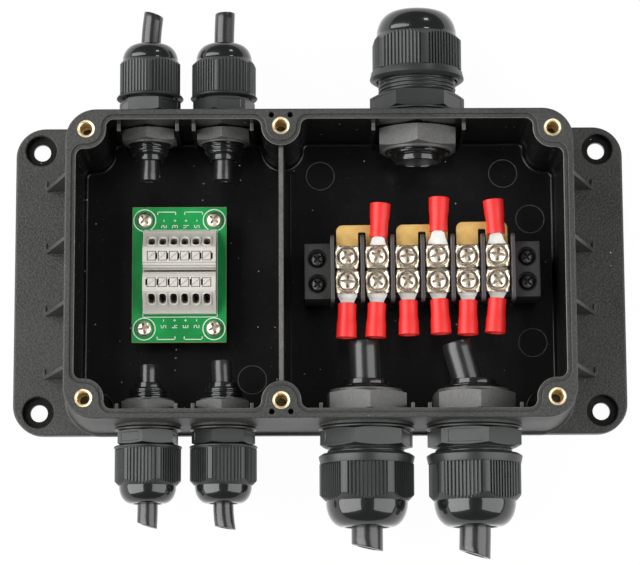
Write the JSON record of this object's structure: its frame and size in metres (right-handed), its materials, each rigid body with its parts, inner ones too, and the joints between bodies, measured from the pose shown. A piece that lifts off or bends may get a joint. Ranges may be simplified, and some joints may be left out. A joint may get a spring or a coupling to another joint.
{
  "type": "cable junction box",
  "caption": "Open black junction box with side flanges, cable glands on both long sides, a divider, a board with spring terminals and a barrier strip with fork terminals.",
  "frame": {"origin": "centre of the flat back face, on the surface that it is screwed to", "axes": "+X along the box to the power side, +Y to the side with the single large gland, +Z out of the open side"},
  "size_m": [0.2484, 0.2194, 0.05],
  "materials": {
    "black_abs": "satin, fine texture",
    "black_nylon": "semi-gloss",
    "black_phenolic": "matte",
    "cable_sheath": "matte",
    "green_board": "satin lacquer",
    "grey_plastic": "satin",
    "nickel_plate": "bright",
    "brass_sheet": "satin",
    "red_vinyl": "satin"
  },
  "bodies": {
    "box": {"barrier_strip": "black_phenolic", "board_screw_1": "nickel_plate", "board_screw_2": "nickel_plate", "board_screw_3": "nickel_plate", "board_screw_4": "nickel_plate", "circuit_board": "green_board", "enclosure": "black_abs", "fork_terminal_bottom_1": "red_vinyl", "fork_terminal_bottom_2": "red_vinyl", "fork_terminal_bottom_3": "red_vinyl", "fork_terminal_bottom_4": "red_vinyl", "fork_terminal_bottom_5": "red_vinyl", "fork_terminal_bottom_6": "red_vinyl", "fork_terminal_top_2": "red_vinyl", "fork_terminal_top_4": "red_vinyl", "fork_terminal_top_6": "red_vinyl", "jumper_1": "brass_sheet", "jumper_2": "brass_sheet", "jumper_3": "brass_sheet", "lower_terminal": "grey_plastic", "power_in_gland_body": "black_nylon", "power_in_locknut": "black_nylon", "power_out_a_cable": "cable_sheath", "power_out_a_gland_body": "black_nylon", "power_out_a_locknut": "black_nylon", "power_out_b_cable": "cable_sheath", "power_out_b_gland_body": "black_nylon", "power_out_b_locknut": "black_nylon", "signal_a_cable": "cable_sheath", "signal_a_gland_body": "black_nylon", "signal_a_locknut": "black_nylon", "signal_b_cable": "cable_sheath", "signal_b_gland_body": "black_nylon", "signal_b_locknut": "black_nylon", "signal_c_cable": "cable_sheath", "signal_c_gland_body": "black_nylon", "signal_c_locknut": "black_nylon", "signal_d_cable": "cable_sheath", "signal_d_gland_body": "black_nylon", "signal_d_locknut": "black_nylon", "upper_terminal": "grey_plastic"},
    "signal_a_sealing_nut": {"signal_a_sealing_nut": "black_nylon"},
    "signal_b_sealing_nut": {"signal_b_sealing_nut": "black_nylon"},
    "signal_c_sealing_nut": {"signal_c_sealing_nut": "black_nylon"},
    "signal_d_sealing_nut": {"signal_d_sealing_nut": "black_nylon"},
    "power_in_sealing_nut": {"power_in_sealing_nut": "black_nylon"},
    "power_out_a_sealing_nut": {"power_out_a_sealing_nut": "black_nylon"},
    "power_out_b_sealing_nut": {"power_out_b_sealing_nut": "black_nylon"},
    "upper_release_button_1": {"upper_release_button_1": "grey_plastic"},
    "upper_release_button_2": {"upper_release_button_2": "grey_plastic"},
    "upper_release_button_3": {"upper_release_button_3": "grey_plastic"},
    "upper_release_button_4": {"upper_release_button_4": "grey_plastic"},
    "upper_release_button_5": {"upper_release_button_5": "grey_plastic"},
    "upper_release_button_6": {"upper_release_button_6": "grey_plastic"},
    "lower_release_button_1": {"lower_release_button_1": "grey_plastic"},
    "lower_release_button_2": {"lower_release_button_2": "grey_plastic"},
    "lower_release_button_3": {"lower_release_button_3": "grey_plastic"},
    "lower_release_button_4": {"lower_release_button_4": "grey_plastic"},
    "lower_release_button_5": {"lower_release_button_5": "grey_plastic"},
    "lower_release_button_6": {"lower_release_button_6": "grey_plastic"}
  },
  "joints": [
    {"name": "signal_a_nut_turn", "type": "hinge", "parent": "box", "child": "signal_a_sealing_nut", "pos_m": [-0.06821, 0.08, 0.027], "axis": [0, 1, 0], "range_deg": [0, 720]},
    {"name": "signal_b_nut_turn", "type": "hinge", "parent": "box", "child": "signal_b_sealing_nut", "pos_m": [-0.03839, 0.08, 0.027], "axis": [0, 1, 0], "range_deg": [0, 720]},
    {"name": "signal_c_nut_turn", "type": "hinge", "parent": "box", "child": "signal_c_sealing_nut", "pos_m": [-0.06821, -0.08, 0.027], "axis": [0, -1, 0], "range_deg": [0, 720]},
    {"name": "signal_d_nut_turn", "type": "hinge", "parent": "box", "child": "signal_d_sealing_nut", "pos_m": [-0.03839, -0.08, 0.027], "axis": [0, -1, 0], "range_deg": [0, 720]},
    {"name": "power_in_nut_turn", "type": "hinge", "parent": "box", "child": "power_in_sealing_nut", "pos_m": [0.0395, 0.08, 0.027], "axis": [0, 1, 0], "range_deg": [-980, 360]},
    {"name": "power_out_a_nut_turn", "type": "hinge", "parent": "box", "child": "power_out_a_sealing_nut", "pos_m": [0.0182, -0.08, 0.027], "axis": [0, -1, 0], "range_deg": [-200, 720]},
    {"name": "power_out_b_nut_turn", "type": "hinge", "parent": "box", "child": "power_out_b_sealing_nut", "pos_m": [0.0608, -0.08, 0.027], "axis": [0, -1, 0], "range_deg": [-200, 720]},
    {"name": "upper_release_button_1_press", "type": "slide", "parent": "box", "child": "upper_release_button_1", "axis": [0, 0, -1], "range_m": [0, 0.0012], "stiffness_N_per_m": 3000, "springref_m": -0.0005},
    {"name": "upper_release_button_2_press", "type": "slide", "parent": "box", "child": "upper_release_button_2", "axis": [0, 0, -1], "range_m": [0, 0.0012], "stiffness_N_per_m": 3000, "springref_m": -0.0005},
    {"name": "upper_release_button_3_press", "type": "slide", "parent": "box", "child": "upper_release_button_3", "axis": [0, 0, -1], "range_m": [0, 0.0012], "stiffness_N_per_m": 3000, "springref_m": -0.0005},
    {"name": "upper_release_button_4_press", "type": "slide", "parent": "box", "child": "upper_release_button_4", "axis": [0, 0, -1], "range_m": [0, 0.0012], "stiffness_N_per_m": 3000, "springref_m": -0.0005},
    {"name": "upper_release_button_5_press", "type": "slide", "parent": "box", "child": "upper_release_button_5", "axis": [0, 0, -1], "range_m": [0, 0.0012], "stiffness_N_per_m": 3000, "springref_m": -0.0005},
    {"name": "upper_release_button_6_press", "type": "slide", "parent": "box", "child": "upper_release_button_6", "axis": [0, 0, -1], "range_m": [0, 0.0012], "stiffness_N_per_m": 3000, "springref_m": -0.0005},
    {"name": "lower_release_button_1_press", "type": "slide", "parent": "box", "child": "lower_release_button_1", "axis": [0, 0, -1], "range_m": [0, 0.0012], "stiffness_N_per_m": 3000, "springref_m": -0.0005},
    {"name": "lower_release_button_2_press", "type": "slide", "parent": "box", "child": "lower_release_button_2", "axis": [0, 0, -1], "range_m": [0, 0.0012], "stiffness_N_per_m": 3000, "springref_m": -0.0005},
    {"name": "lower_release_button_3_press", "type": "slide", "parent": "box", "child": "lower_release_button_3", "axis": [0, 0, -1], "range_m": [0, 0.0012], "stiffness_N_per_m": 3000, "springref_m": -0.0005},
    {"name": "lower_release_button_4_press", "type": "slide", "parent": "box", "child": "lower_release_button_4", "axis": [0, 0, -1], "range_m": [0, 0.0012], "stiffness_N_per_m": 3000, "springref_m": -0.0005},
    {"name": "lower_release_button_5_press", "type": "slide", "parent": "box", "child": "lower_release_button_5", "axis": [0, 0, -1], "range_m": [0, 0.0012], "stiffness_N_per_m": 3000, "springref_m": -0.0005},
    {"name": "lower_release_button_6_press", "type": "slide", "parent": "box", "child": "lower_release_button_6", "axis": [0, 0, -1], "range_m": [0, 0.0012], "stiffness_N_per_m": 3000, "springref_m": -0.0005}
  ]
}
